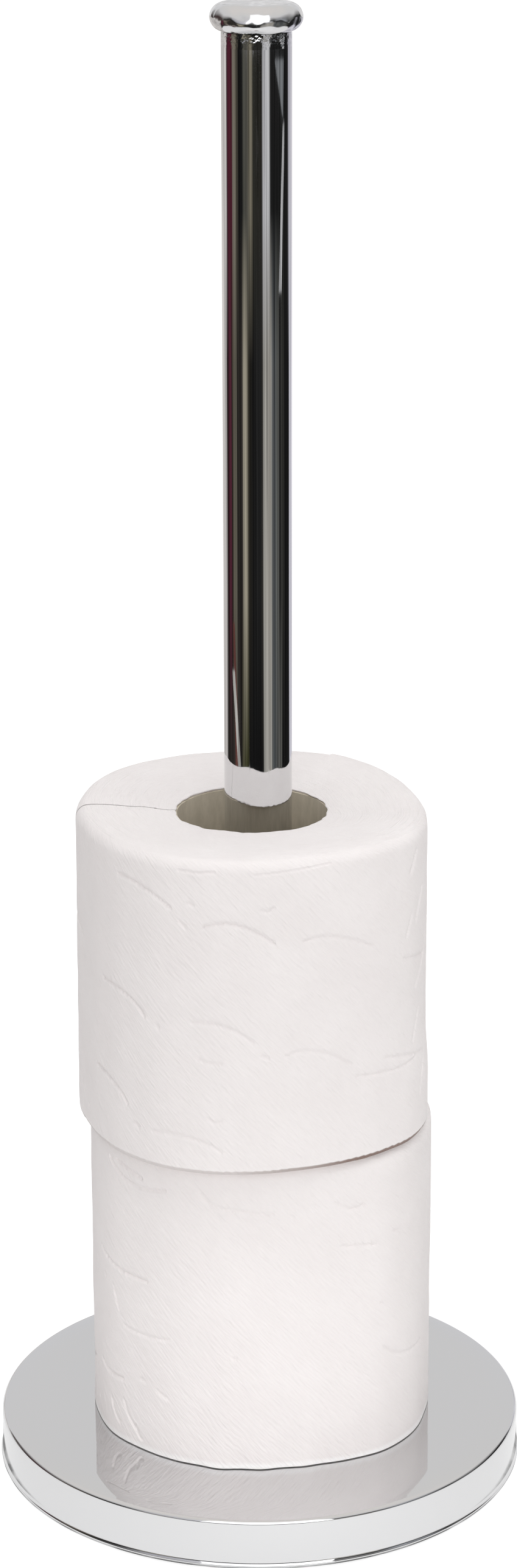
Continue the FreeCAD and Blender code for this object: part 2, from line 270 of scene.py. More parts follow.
def wound_tissue(name, wall_height, edge, painted_band_top, painted_foot_highlight):
    """Creped tissue: soft white, with fine slanting crepe lines on the wall and the layers' edges on the ends.

    Below the given band height the wall takes the edge colour, in patches and most of all on the right, away
    from the light: a painted shadow of the gap between the rolls on the upper roll, and painted light along the
    lower roll's foot. Just above that band the wall is painted paler by the given share, a painted highlight.
    """
    finish, tree, shader = new_finish(name)
    shader.inputs["Roughness"].default_value = 1
    shader.inputs["Specular IOR Level"].default_value = 0.12
    shader.inputs["Sheen Weight"].default_value = 0.08
    along, up, _ = split(tree, wall_place(tree))
    patches = ramp(tree, grain(tree, 40, (6, 1, 1), detail=2, place=wall_place), [(0.34, 0.2), (0.55, 1.0)])
    # Painted band at the foot: dark on the upper roll as the shadow in the gap between the rolls, pale on the lower
    # roll as painted light; strongest on the right.
    in_painted_band = between(tree, up, painted_band_top, painted_band_top - 0.35 * MM)
    to_right = between(tree, along, -85 * MM, -50 * MM, low=0.3)
    # Painted highlight: the wall is paler in a band just above the foot.
    painted_highlight_band = between(tree, up, 2.2 * MM, 1 * MM, high=painted_foot_highlight)
    shade = ramp(tree, grain(tree, 60, detail=3), [(0.3, (0.865, 0.82, 0.812)), (0.7, (0.89, 0.848, 0.84))])
    shade = blend(tree, painted_highlight_band, shade, (0.98, 0.965, 0.96))
    shade = blend(tree, times(tree, times(tree, patches, to_right), in_painted_band), shade, edge)
    join(tree, shade, shader.inputs["Base Color"])
    crepe = grain(tree, 1400, (7, 1, 1), (0, 0, math.radians(-47)), 2, place=wall_place)
    coarse = grain(tree, 420, (3, 1, 1), (0, 0, math.radians(-38)), 3, place=wall_place)
    layers = grain(tree, 2600, (45, 1, 1), detail=2, place=wall_place)
    fibres = grain(tree, 2600, detail=3, rough=0.7)
    on_end = between(tree, up, wall_height, wall_height + 2 * MM)
    under = relief(tree, shader, mix_numbers(tree, on_end, crepe, layers), 0.00025)
    under = relief(tree, shader, coarse, 0.00026, under=under)
    relief(tree, shader, fibres, 0.00005, under=under)
    return finish


def core_board(name):
    """Grey-brown board with short upright fibres."""
    finish, tree, shader = new_finish(name)
    fibre = grain(tree, 420, stretch=(1, 1, 3), detail=5, rough=0.65)
    shade = ramp(tree, fibre, [(0.3, (0.6, 0.54, 0.43)), (0.7, (0.72, 0.65, 0.53))])
    join(tree, shade, shader.inputs["Base Color"])
    shader.inputs["Roughness"].default_value = 0.85
    shader.inputs["Specular IOR Level"].default_value = 0.25
    relief(tree, shader, fibre, 0.0001)
    return finish


def cast_iron(name):
    finish, tree, shader = new_finish(name)
    sand = grain(tree, 900, detail=5, rough=0.65)
    join(tree, ramp(tree, sand, [(0.3, 0.03), (0.7, 0.075)]), shader.inputs["Base Color"])
    shader.inputs["Metallic"].default_value = 0.6
    shader.inputs["Roughness"].default_value = 0.62
    relief(tree, shader, sand, 0.0003)
    return finish


def foam_sheet(name):
    """Closed-cell foam: black, matte, with cut cells."""
    finish, tree, shader = new_finish(name)
    cells = add(tree, "ShaderNodeTexVoronoi", {"Scale": 1400.0})
    join(tree, own_place(tree), cells.inputs["Vector"])
    join(tree, ramp(tree, cells.outputs["Distance"], [(0.0, 0.012), (0.7, 0.035)]), shader.inputs["Base Color"])
    shader.inputs["Roughness"].default_value = 0.9
    relief(tree, shader, cells.outputs["Distance"], 0.00025)
    return finish


def gasket_plastic(name):
    finish, tree, shader = new_finish(name)
    cloud = grain(tree, 300, detail=3)
    join(tree, ramp(tree, cloud, [(0.3, (0.66, 0.66, 0.64)), (0.7, (0.72, 0.72, 0.7))]), shader.inputs["Base Color"])
    shader.inputs["Roughness"].default_value = 0.42
    relief(tree, shader, cloud, 0.00003)
    return finish


def zinc_steel(name):
    """Zinc-plated turned steel: bright, slightly clouded, with tool lines."""
    finish, tree, shader = new_finish(name)
    cloud = grain(tree, 260, detail=4)
    join(tree, ramp(tree, cloud, [(0.3, (0.46, 0.46, 0.45)), (0.7, (0.56, 0.56, 0.54))]), shader.inputs["Base Color"])
    shader.inputs["Metallic"].default_value = 1
    lines = grain(tree, 2200, stretch=(1, 1, 0.17), detail=2)
    join(tree, ramp(tree, lines, [(0.3, 0.24), (0.7, 0.4)]), shader.inputs["Roughness"])
    relief(tree, shader, lines, 0.00003)
    return finish


# The studio: a lit floor, soft boxes, and a room that only mirrors see.

def glowing(tree, colour, glow):
    """A matte sheet of a grey with some light of its own."""
    sheet = add(tree, "ShaderNodeBsdfDiffuse", {"Color": (colour, colour, colour, 1)})
    light = add(tree, "ShaderNodeEmission", {"Color": (1, 1, 1, 1)})
    put(tree, glow, light.inputs["Strength"])
    both = tree.nodes.new("ShaderNodeAddShader")
    join(tree, sheet.outputs[0], both.inputs[0])
    join(tree, light.outputs[0], both.inputs[1])
    return both.outputs[0]


def either(tree, when, otherwise, then):
    pick = tree.nodes.new("ShaderNodeMixShader")
    join(tree, when, pick.inputs[0])
    join(tree, otherwise, pick.inputs[1])
    join(tree, then, pick.inputs[2])
    return pick.outputs[0]


def lit_floor():
    """A pale floor, white to the camera, that keeps the stand's shadow.

    Mirrors see it glow with painted light that dims away from the stand, and a painted contact shadow: a narrow
    dark ring in patches beside the stand's foot.
    """
    bpy.ops.mesh.primitive_plane_add(size=14)
    floor = bpy.context.object
    floor.name = "studio_floor"
    finish, tree, shader = new_finish("studio_floor")
    tree.nodes.remove(shader)
    rays = tree.nodes.new("ShaderNodeLightPath")
    mirrored = add(tree, "ShaderNodeMath", operation="MAXIMUM")
    join(tree, rays.outputs["Is Glossy Ray"], mirrored.inputs[0])
    join(tree, rays.outputs["Is Transmission Ray"], mirrored.inputs[1])
    plain = add(tree, "ShaderNodeBsdfDiffuse", {"Color": (0.8, 0.8, 0.8, 1)}).outputs[0]
    away = add(tree, "ShaderNodeVectorMath", {1: (0.02, -0.12, 0)}, operation="DISTANCE")
    join(tree, own_place(tree), away.inputs[0])
    # Painted light: the glow that mirrors see dims away from the stand.
    painted_light_falloff = between(tree, away.outputs["Value"], 0, 0.2, 0.86, 0.66)
    out = add(tree, "ShaderNodeVectorMath", operation="LENGTH")
    join(tree, own_place(tree), out.inputs[0])
    # Painted shadow: a narrow dark ring in patches round the stand's foot, the contact shadow as mirrors see it.
    outside_painted_shadow_ring = between(tree, out.outputs["Value"], 0.0775, 0.0786)
    patches = ramp(tree, grain(tree, 55, detail=3), [(0.45, 0.05), (0.6, 0.6)])
    glow = times(tree, painted_light_falloff, mix_numbers(tree, outside_painted_shadow_ring, patches, 1))
    first = either(tree, mirrored.outputs[0], plain, glowing(tree, 0.3, glow))
    last = either(tree, rays.outputs["Is Camera Ray"], first, glowing(tree, 0.42, 0.82))
    join(tree, last, tree.nodes["Material Output"].inputs["Surface"])
    floor.data.materials.append(finish)


def soft_room():
    """An even pale room; mirrors see it a little greyer than the camera does, cool low down, warm overhead."""
    world = bpy.data.worlds.new("soft_room")
    bpy.context.scene.world = world
    world.use_nodes = True
    tree = world.node_tree
    tree.nodes.clear()
    rays = tree.nodes.new("ShaderNodeLightPath")
    up = split(tree, tree.nodes.new("ShaderNodeTexCoord").outputs["Generated"])["Z"]
    wash = ramp(tree, up, [
        (0.0, (0.86, 0.85, 0.85)), (0.3, (0.77, 0.77, 0.785)), (0.6, (0.8, 0.79, 0.78)), (1.0, (0.88, 0.84, 0.81)),
    ])
    fill = add(tree, "ShaderNodeBackground", {"Color": (1, 1, 1, 1), "Strength": 0.62})
    mirror = add(tree, "ShaderNodeBackground", {"Strength": 1.0})
    join(tree, wash, mirror.inputs["Color"])
    seen = add(tree, "ShaderNodeBackground", {"Color": (1, 1, 1, 1), "Strength": 1.0})
    first = either(tree, rays.outputs["Is Glossy Ray"], fill.outputs[0], mirror.outputs[0])
    last = either(tree, rays.outputs["Is Camera Ray"], first, seen.outputs[0])
    join(tree, last, tree.nodes.new("ShaderNodeOutputWorld").inputs[0])


def soft_box(name, place, size, power, aim_height=0.15, spread=180):
    """A square lamp turned to the stand's axis at a height; size in metres, power in watts, spread in degrees."""
    lamp = bpy.data.lights.new(name, "AREA")
    lamp.size = size
    lamp.energy = power
    lamp.spread = math.radians(spread)
    box = bpy.data.objects.new(name, lamp)
    box.location = place
    aim = -box.location
    aim.z += aim_height
    box.rotation_euler = aim.to_track_quat("-Z", "Y").to_euler()
    box.visible_glossy = False
    box.visible_camera = False
    bpy.context.scene.collection.objects.link(box)


def mirror_only(piece):
    """Leaves a piece of the stage to mirrors alone."""
    piece.visible_camera = False
    piece.visible_diffuse = False
    piece.visible_transmission = False
    piece.visible_volume_scatter = False
    piece.visible_shadow = False


ROOM_RADIUS = 1.5
# What the chrome mirrors round the stand, as (degrees from the camera's side, colour): a dark room with the pale
# backdrop behind, wine red and khaki cloth to the left and a pale panel to the right. NEAR lies lowest on the
# dish and FAR near its rim.
ROOM_FAR = [
    (-180, (0.72, 0.69, 0.67)), (-119, (0.68, 0.65, 0.63)), (-113, (0.04, 0.015, 0.02)), (-105, (0.095, 0.02, 0.035)),
    (-89, (0.09, 0.02, 0.033)), (-86, (0.2, 0.18, 0.15)), (-76, (0.24, 0.215, 0.17)), (-70, (0.1, 0.09, 0.07)),
    (-62, 0.012), (-49, 0.012), (-44, (0.08, 0.08, 0.068)), (-30, (0.1, 0.095, 0.08)), (-25, (0.24, 0.22, 0.165)),
    (-17, (0.2, 0.18, 0.135)), (-12, (0.03, 0.03, 0.025)), (16, (0.028, 0.026, 0.022)), (22, (0.6, 0.6, 0.62)),
    (41, (0.66, 0.66, 0.67)), (45, 0.015), (121, 0.016), (127, (0.5, 0.49, 0.54)), (132, (0.68, 0.67, 0.74)),
    (180, (0.72, 0.7, 0.74)),
]
ROOM_MIDDLE = [
    (-180, (0.72, 0.69, 0.67)), (-124, (0.66, 0.63, 0.61)), (-118, (0.02, 0.01, 0.01)), (-110, (0.03, 0.012, 0.015)),
    (-104, (0.14, 0.035, 0.06)), (-98, (0.12, 0.03, 0.05)), (-92, (0.02, 0.018, 0.015)), (-85, (0.14, 0.125, 0.095)),
    (-74, (0.13, 0.12, 0.095)), (-68, (0.03, 0.027, 0.024)), (-51, (0.035, 0.03, 0.027)), (-46, (0.4, 0.37, 0.29)),
    (-37, (0.44, 0.4, 0.31)), (-30, (0.03, 0.027, 0.02)), (-14, 0.015), (10, 0.02), (17, (0.04, 0.037, 0.033)),
    (22, (0.34, 0.33, 0.3)), (34, (0.44, 0.42, 0.38)), (44, (0.38, 0.36, 0.32)), (52, (0.16, 0.17, 0.175)),
    (60, (0.06, 0.065, 0.07)), (67, (0.22, 0.23, 0.22)), (74, (0.12, 0.12, 0.11)), (78, 0.02),
    (92, (0.05, 0.05, 0.045)), (104, 0.012), (127, 0.015), (132, (0.6, 0.59, 0.66)), (180, (0.72, 0.7, 0.74)),
]
ROOM_NEAR = [
    (-180, (0.72, 0.69, 0.67)), (-128, (0.6, 0.57, 0.55)), (-120, (0.015, 0.012, 0.01)), (-100, (0.04, 0.036, 0.032)),
    (-84, (0.045, 0.036, 0.032)), (-70, (0.07, 0.06, 0.055)), (-56, (0.02, 0.018, 0.016)), (-50, (0.1, 0.095, 0.06)),
    (-40, (0.07, 0.07, 0.035)), (-32, (0.05, 0.05, 0.022)), (-28, 0.01), (16, 0.01), (19, (0.03, 0.03, 0.027)),
    (23, (0.36, 0.35, 0.32)), (44, (0.43, 0.41, 0.37)), (50, (0.2, 0.205, 0.2)), (56, (0.09, 0.1, 0.105)),
    (72, (0.1, 0.1, 0.095)), (86, (0.12, 0.12, 0.11)), (91, 0.012), (130, 0.015), (136, (0.68, 0.67, 0.74)),
    (180, (0.72, 0.7, 0.74)),
]
# Slanting shapes on it, as (first bearing low down and high up, last bearing low and high, heights, colour).
SLANTS = [
    (92, 60, 96, 99, 0.222, 0.243, (0.2, 0.21, 0.22)),
    (76, 94, 88, 103, 0.165, 0.219, (0.5, 0.5, 0.51)),
    (-78, -92, -58, -84, 0.042, 0.082, (0.12, 0.05, 0.042)),
    (-60, -96, -49, -84, 0.045, 0.072, (0.5, 0.49, 0.46)),
]
# The wall behind the camera, and the dish's rim.
WALL = [
    (-180, 0.8), (-139, 0.8), (-132, (0.05, 0.035, 0.03)), (-112, (0.05, 0.03, 0.03)), (-92, (0.16, 0.15, 0.14)),
    (-78, (0.02, 0.02, 0.018)), (-62, 0.04), (-50, (0.3, 0.3, 0.32)), (-38, (0.55, 0.55, 0.6)),
    (-22, (0.85, 0.85, 0.9)), (26, (0.6, 0.6, 0.64)), (30, 0.04), (48, 0.05), (60, (0.3, 0.31, 0.33)),
    (72, (0.25, 0.26, 0.28)), (84, 0.06), (100, 0.12), (118, 0.02), (132, 0.03), (139, 0.8), (180, 0.8),
]


def bearing(tree, parts):
    """Where a point lies round the stand: 0 behind it, on round by the left, 0.5 at the camera's side and up to 1."""
    angle = add(tree, "ShaderNodeMath", operation="ARCTAN2")
    join(tree, parts["X"], angle.inputs[0])
    join(tree, times(tree, parts["Y"], -1), angle.inputs[1])
    turn = add(tree, "ShaderNodeMath", {1: 1 / math.tau, 2: 0.5}, operation="MULTIPLY_ADD")
    join(tree, angle.outputs[0], turn.inputs[0])
    return turn.outputs[0]


def room_stripes(tree, turn, stripes):
    return ramp(tree, turn, [(degrees / 360 + 0.5, colour) for degrees, colour in stripes])


def slant(tree, turn, height, low_first, high_first, low_last, high_last, low, high):
    """1 between two bearings that change with height, from low to high, and 0 elsewhere."""
    sides = [(height, low, "GREATER_THAN"), (height, high, "LESS_THAN")]
    for at_low, at_high, sense in ((low_first, high_first, "GREATER_THAN"), (low_last, high_last, "LESS_THAN")):
        values = {"From Min": low, "From Max": high, "To Min": at_low / 360 + 0.5, "To Max": at_high / 360 + 0.5}
        edge = add(tree, "ShaderNodeMapRange", values, clamp=False)
        join(tree, height, edge.inputs["Value"])
        sides.append((turn, edge.outputs[0], sense))
    inside = 1
    for value, limit, sense in sides:
        side = add(tree, "ShaderNodeMath", operation=sense)
        join(tree, value, side.inputs[0])
        put(tree, limit, side.inputs[1])
        inside = times(tree, inside, side.outputs[0])
    return inside


def mirrored_sheet(name):
    """The object just made, given a name and an empty material; only mirrors see it."""
    piece = bpy.context.object
    piece.name = name
    pick_up(piece)
    bpy.ops.object.transform_apply(location=True, rotation=True, scale=True)
    finish, tree, shader = new_finish(name)
    tree.nodes.remove(shader)
    piece.data.materials.append(finish)
    mirror_only(piece)
    return tree


def glow_only(tree, colour):
    glow = add(tree, "ShaderNodeEmission", {"Strength": 1.0})
    join(tree, colour, glow.inputs["Color"])
    join(tree, glow.outputs[0], tree.nodes["Material Output"].inputs["Surface"])


def room_ring():
    """A shallow dish round the stand, out of the camera's sight, with the room's stripes on it."""
    bpy.ops.mesh.primitive_cone_add(
        vertices=96, radius1=0.42, radius2=ROOM_RADIUS, depth=0.27, end_fill_type="NOTHING", location=(0, 0, 0.168),
    )
    tree = mirrored_sheet("room_ring")
    parts = split(tree, own_place(tree))
    turn, height = bearing(tree, parts), parts["Z"]
    colour = room_stripes(tree, turn, ROOM_NEAR)
    for low, high, stripes in ((0.055, 0.088, ROOM_MIDDLE), (0.145, 0.19, ROOM_FAR), (0.246, 0.285, WALL)):
        colour = blend(tree, between(tree, height, low, high), colour, room_stripes(tree, turn, stripes))
    for *edges, shade in SLANTS:
        colour = blend(tree, slant(tree, turn, height, *edges), colour, shade)
    along = add(tree, "ShaderNodeCombineXYZ")
    join(tree, turn, along.inputs["X"])
    join(tree, height, along.inputs["Y"])
    streaks = add(tree, "ShaderNodeMapping", {"Scale": (64, 5, 1)})
    join(tree, along.outputs[0], streaks.inputs["Vector"])
    folds = add(tree, "ShaderNodeTexNoise", {"Scale": 1.0, "Detail": 3.0, "Roughness": 0.65})
    join(tree, streaks.outputs["Vector"], folds.inputs["Vector"])
    shading = ramp(tree, folds.outputs["Fac"], [(0.3, 0.3), (0.5, 0.95), (0.7, 1.6)])
    glow_only(tree, blend(tree, 1.0, colour, shading, "MULTIPLY"))


def room_wall():
    """The dim wall behind the camera, open at the back; only the cap and the cover's edges mirror it."""
    bpy.ops.mesh.primitive_cylinder_add(
        vertices=96, radius=ROOM_RADIUS, depth=0.85, end_fill_type="NOTHING", location=(0, 0, 0.725),
    )
    wall = bpy.context.object
    open_back = ROOM_RADIUS * math.cos(math.radians(42))
    pick_faces(wall, [face.center.y > open_back for face in wall.data.polygons])
    bpy.ops.mesh.delete(type="FACE")
    tree = mirrored_sheet("room_wall")
    parts = split(tree, own_place(tree))
    patches = ramp(tree, grain(tree, 2.2, detail=4, rough=0.6), [(0.3, 0.5), (0.7, 1.6)])
    cloth = blend(tree, 1.0, room_stripes(tree, bearing(tree, parts), WALL), patches, "MULTIPLY")
    glow_only(tree, blend(tree, between(tree, parts["Z"], 0.45, 1.1), cloth, (0.76, 0.75, 0.75)))


def room_window():
    """The tall bright window above the camera."""
    bpy.ops.mesh.primitive_plane_add(size=1, location=(0, 0, 0))
    bpy.ops.transform.resize(value=(1.24, 1.6, 1))
    bpy.ops.transform.rotate(value=math.radians(90), orient_axis="X", center_override=(0, 0, 0))
    bpy.ops.transform.translate(value=(0.08, -1.2, 1.07))
    tree = mirrored_sheet("room_window")
    glow_only(tree, ramp(tree, grain(tree, 1.5, detail=2), [(0.3, (1.6, 1.6, 1.65)), (0.6, (2.2, 2.2, 2.2))]))


# The rolls.

# A roll's top edge, the dish in its upper end, the bore of its paper with a thin lip over the core's end, the
# wall's height, and the steps it is spun in.
TOP_ROUND = 4.0 * MM
DISH = 2.0 * MM
DISH_RADIUS = 42.0 * MM
BORE = 22.05 * MM
LIP_RADIUS = 21.1 * MM
LIP_NOSE = 20.7 * MM
LIP_TOP, LIP_FOOT = 2.0 * MM, 2.5 * MM
WALL_HEIGHT = 91.6 * MM
STEPS = 96

# Radii of the squashed rolls in millimetres, every 15 degrees from the left side round by the front.
LOWER_PLAN = [
    48.9, 49.0, 49.4, 48.4, 48.0, 47.2, 46.5, 46.2, 47.7, 49.8, 49.7, 48.7,
    48.9, 49.3, 49.7, 49.2, 48.2, 47.1, 46.7, 47.0, 48.1, 49.2, 49.7, 49.3,
]
UPPER_PLAN = [
    49.9, 48.9, 49.3, 50.3, 51.1, 50.6, 49.4, 48.5, 48.8, 49.9, 51.2, 50.2,
    49.1, 48.6, 49.6, 51.0, 52.2, 52.2, 51.5, 51.4, 51.6, 52.3, 51.9, 50.6,
]
# Dents and bulges as (degrees, millimetres out, reach, lowest and highest height on the roll).
LOWER_DENTS = [
    (-105, 0.9, 6, -1, 3), (-90, 0.6, 5, -1, 3), (-75, 0.5, 5, -1, 3), (180, 0.15, 22, 60, 93), (0, 0.2, 22, 60, 93),
]
UPPER_DENTS = [(-15, 0.9, 20, -1, 14), (-30, -0.7, 12, 30, 45), (-165, -0.6, 14, 40, 60)]
# The paper's inner edge at the top, as (degrees, millimetres out from its round).
OPENING = [
    (-180, 0.7), (-150, 0.5), (-125, -0.3), (-108, -1.3), (-90, -1.6), (-72, -1.3), (-50, -0.4), (-30, 0),
    (0, 0.3), (30, 0.5), (60, 0.7), (90, 0.7), (120, 0.7), (150, 0.7), (180, 0.7),
]
# Deeper creases as (points of (degrees, millimetres up), width, depth).
UPPER_CREASES = [
    ([(-113, 88.3), (-107, 88.0), (-102, 88.5)], 0.7, 0.35), ([(-89, 87.6), (-78, 88.1), (-64, 89.3)], 0.6, 0.25),
    ([(-31, 80), (-27, 86)], 0.9, 0.4), ([(-27, 66), (-21, 74)], 1.0, 0.45), ([(-33, 62), (-30, 68)], 0.8, 0.3),
    ([(-26, 46), (-17, 55)], 1.0, 0.4), ([(-28, 30), (-23, 39)], 0.8, 0.3), ([(-24, 12), (-20, 22)], 0.8, 0.3),
]
# Marks pressed into the wall where the photograph shows them, as points of (degrees, millimetres up): clear
# strokes, fainter ones, and short nicks.
UPPER_STROKES = [
    [(-137, 83), (-126, 81.5), (-116, 77)], [(-105, 72.5), (-95, 73.5), (-83, 68)],
    [(-147, 50), (-134, 48.5), (-126, 44)], [(-153, 22.5), (-141, 20.5), (-134, 16)],
]
UPPER_FAINT = [
    [(-109, 44.5), (-99, 44), (-90, 39.5)], [(-79, 34.5), (-69, 35), (-56, 29.5)],
    [(-123, 10.5), (-110, 10.5), (-100, 7)], [(-42, 28.5), (-19, 24.5)],
    [(-54, 25.5), (-37, 24), (-25, 25)], [(-34, 56), (-17, 53.5)], [(-73, 67.5), (-62, 67.5), (-48, 62.5)],
]
UPPER_NICKS = [
    [(-87, 77.5), (-85, 77), (-83, 78)], [(-113, 73.5), (-111, 72)], [(-107, 34), (-103, 33), (-100, 33)],
    [(-104, 16.5), (-102, 15.5), (-100, 16)], [(-130.5, 11), (-128.5, 10.5)], [(-87, 35), (-85, 34.5)],
    [(-110, 79), (-108.5, 78.5)], [(-121, 42), (-120.5, 41.5)],
]
LOWER_STROKES = [
    [(-150, 86.5), (-139, 81.5), (-124, 82.5)], [(-158, 56.5), (-147, 53.5), (-132, 53)], [(-146, 87), (-134, 84)],
    [(-159, 20.5), (-152, 19), (-144, 19.5)],
]
LOWER_FAINT = [
    [(-143, 36.5), (-134, 36), (-123, 37)], [(-111, 83.5), (-103, 80), (-86, 78)], [(-62, 66.5), (-49, 65)],
    [(-46, 32.5), (-36, 27.5), (-22, 26.5)], [(-149, 47), (-146, 40.5)], [(-144, 13), (-141, 8), (-137, 5)],
    [(-138, 6.5), (-137, 4), (-135, 3)], [(-151, 11), (-149, 7), (-146, 5)],
]
LOWER_NICKS = [
    [(-64, 80), (-59, 77.5), (-54, 78)], [(-47, 46.5), (-46.5, 46)], [(-100, 34.5), (-99, 34)],
    [(-128, 20), (-124, 18.5)], [(-155.5, 48.5), (-155, 48)], [(-135, 22), (-133.5, 21.5)],
    [(-80, 77), (-79, 76.5)], [(-42, 67), (-39, 66.5)],
]


def draw_and_spin(name, profile, centre, steps):
    """Spins a closed profile of (radius, height) round an upright axis."""
    outline = bpy.data.meshes.new(name)
    cx, cy = centre
    outline.from_pydata(
        [(cx + r, cy, z) for r, z in profile],
        [(i, (i + 1) % len(profile)) for i in range(len(profile))],
        [],
    )
    piece = bpy.data.objects.new(name, outline)
    bpy.context.scene.collection.objects.link(piece)
    open_mesh(piece)
    bpy.ops.mesh.spin(steps=steps, angle=math.tau, center=(cx, cy, 0), axis=(0, 0, 1), use_auto_merge=True)
    bpy.ops.mesh.select_all(action="SELECT")
    bpy.ops.mesh.remove_doubles(threshold=0.000001)
    bpy.ops.mesh.normals_make_consistent(inside=False)
    put_down()
    return piece


def roll_profile(radius, foot, top, foot_round):
    """Half section of a roll: crisp foot, softer top edge, shallow dish, a lip over the core's end, and the bore."""
    low, high = foot_round, TOP_ROUND
    lower = [(radius - low + low * math.sin(a), foot + low - low * math.cos(a)) for a in (0, 0.5, 1.0)]
    side = [(radius, foot + low + (top - foot - low - high) * i / 14) for i in range(15)]
    upper = [(radius - high + high * math.sin(a), top - high + high * math.cos(a)) for a in (1.25, 0.9, 0.55, 0.2)]
    reach = DISH_RADIUS - BORE
    dish = [(BORE + reach * t, top - DISH * (1 - t)) for t in (1.0, 0.82, 0.64, 0.46, 0.28, 0.12)]
    lip = [
        (BORE, top - LIP_TOP), (LIP_RADIUS, top - LIP_TOP),
        (LIP_NOSE, top - (LIP_TOP + LIP_FOOT) / 2), (LIP_RADIUS, top - LIP_FOOT),
    ]
    heights = (top - LIP_FOOT - 0.02 * MM, top - 8 * MM, (top + foot) / 2, foot + 8 * MM, foot + 0.4 * MM)
    wall = [(BORE, height) for height in heights]
    under = [(BORE + (radius - BORE) * t, foot) for t in (0.02, 0.35, 0.7, 0.93)]
    return lower + side + upper + dish + lip + wall + under


def pull(piece, centre, radius, degrees, out, reach, low=0, high=1):
    """Pulls one column of the wall out, or pushes it in, with the wall beside it following softly.

    Only the points from low to high move of themselves, which is all of them unless said otherwise.
    """
    here = points_of(piece)
    across, up = here[:, 0] - centre[0], here[:, 1] - centre[1]
    turn = np.degrees(np.arctan2(up, across))
    off = np.abs((turn - degrees + 180) % 360 - 180)
    chosen = (off < 1.9) & (np.hypot(across, up) > radius - 6 * MM) & (here[:, 2] > low) & (here[:, 2] < high)
    if not chosen.any():
        return
    pick_points(piece, chosen)
    a = math.radians(degrees)
    bpy.ops.transform.translate(
        value=(out * math.cos(a), out * math.sin(a), 0),
        use_proportional_edit=True, proportional_edit_falloff="SMOOTH", proportional_size=reach,
    )
    put_down()


def shape_opening(piece, centre, top, back_rise, seed):
    """Sets the paper's inner edge in or out by bearing, frays it, and lifts the roll's end a little at the back."""
    here = points_of(piece)
    dice = np.random.default_rng(seed)
    across, up = here[:, 0] - centre[0], here[:, 1] - centre[1]
    out, turn = np.hypot(across, up), np.degrees(np.arctan2(up, across))
    shift = np.interp(turn, *zip(*OPENING)) * MM
    step = np.rint((turn + 180) * STEPS / 360).astype(int) % STEPS
    fray = dice.uniform(-0.35, 0.35, STEPS)[step] * MM
    inner = (here[:, 2] > top - LIP_FOOT - 0.01 * MM) & (out < BORE - 0.1 * MM)
    rim = (here[:, 2] > top - LIP_TOP - 0.1 * MM) & (np.abs(out - BORE) < 0.1 * MM)
    move = np.where(inner, shift + fray, np.where(rim, shift * 0.5, 0)) / np.maximum(out, 1e-6)
    here[:, 0] += across * move
    here[:, 1] += up * move
    here[:, 2] += np.where(inner, dice.uniform(-0.12, 0.12, STEPS)[step] * MM, 0)
    lifted = here[:, 2] > top - 6.5 * MM
    here[:, 2] += np.where(lifted, back_rise * np.clip(up / (45 * MM), 0, 1), 0)
    set_points(piece, here)


MM_PER_DEGREE = 0.873  # on the unrolled wall


def curve_mark(degrees, height, length, slope, bow, pieces=7):
    """A pressed stroke on the unrolled wall, as points of (degrees, millimetres up)."""
    line = []
    for i in range(pieces + 1):
        t = i / pieces - 0.5
        along, off = length * t, bow * (1 - 4 * t * t)
        x = along * math.cos(slope) - off * math.sin(slope)
        y = along * math.sin(slope) + off * math.cos(slope)
        line.append((degrees + x / MM_PER_DEGREE, height + y))
    return line


def rounded(line, pieces=6):
    """A curve through the three points of a line; a line of two points stays straight."""
    if len(line) == 2:
        return line
    curve = []
    for i in range(pieces + 1):
        t = i / pieces
        shares = (2 * (t - 0.5) * (t - 1), -4 * t * (t - 1), 2 * t * (t - 0.5))
        curve.append(tuple(sum(share * point[k] for share, point in zip(shares, line)) for k in (0, 1)))
    return curve


def tissue_marks(seed, height):
    """A plain scatter of long shallow strokes and small dots over the back of the wall."""
    dice = np.random.default_rng(seed)
    strokes, dots = [], []
    for column in range(12):
        for row in range(4):
            at = column * 30 + (row % 2) * 15 + dice.uniform(-4, 4)
            up = height * (0.13 + 0.25 * row) + dice.uniform(-4, 4)
            falling = dice.random() < 0.72
            slope = math.radians(dice.uniform(-44, -6) if falling else dice.uniform(6, 30))
            behind = not 188 < at < 352  # where the photograph doesn't show the roll
            if dice.random() < 0.8 and behind:
                strokes.append(curve_mark(at, up, dice.uniform(11, 17), slope, dice.uniform(0.7, 1.7)))
            spot = (at + dice.uniform(10, 14), up - dice.uniform(5, 9))
            if behind:
                dots.append([spot, (spot[0] + 0.5, spot[1] - 0.3)])
    return strokes, dots


BEARINGS = 120  # slots round a roll, each with the roll's own radius there


def wall_places(piece, centre, radius):
    """Each point's bearing, its way up the wall and on over the end, its own radius and the roll's there."""
    here = points_of(piece)
    across, up = here[:, 0] - centre[0], here[:, 1] - centre[1]
    out = np.hypot(across, up)
    turn = np.degrees(np.arctan2(up, across))
    wall = out > radius - 4 * MM
    slots = ((turn + 180) / 360 * BEARINGS).astype(int) % BEARINGS
    widest = np.zeros(BEARINGS)
    np.maximum.at(widest, slots[wall], out[wall])
    return turn, here[:, 2] + np.maximum(widest[slots] - out, 0), out


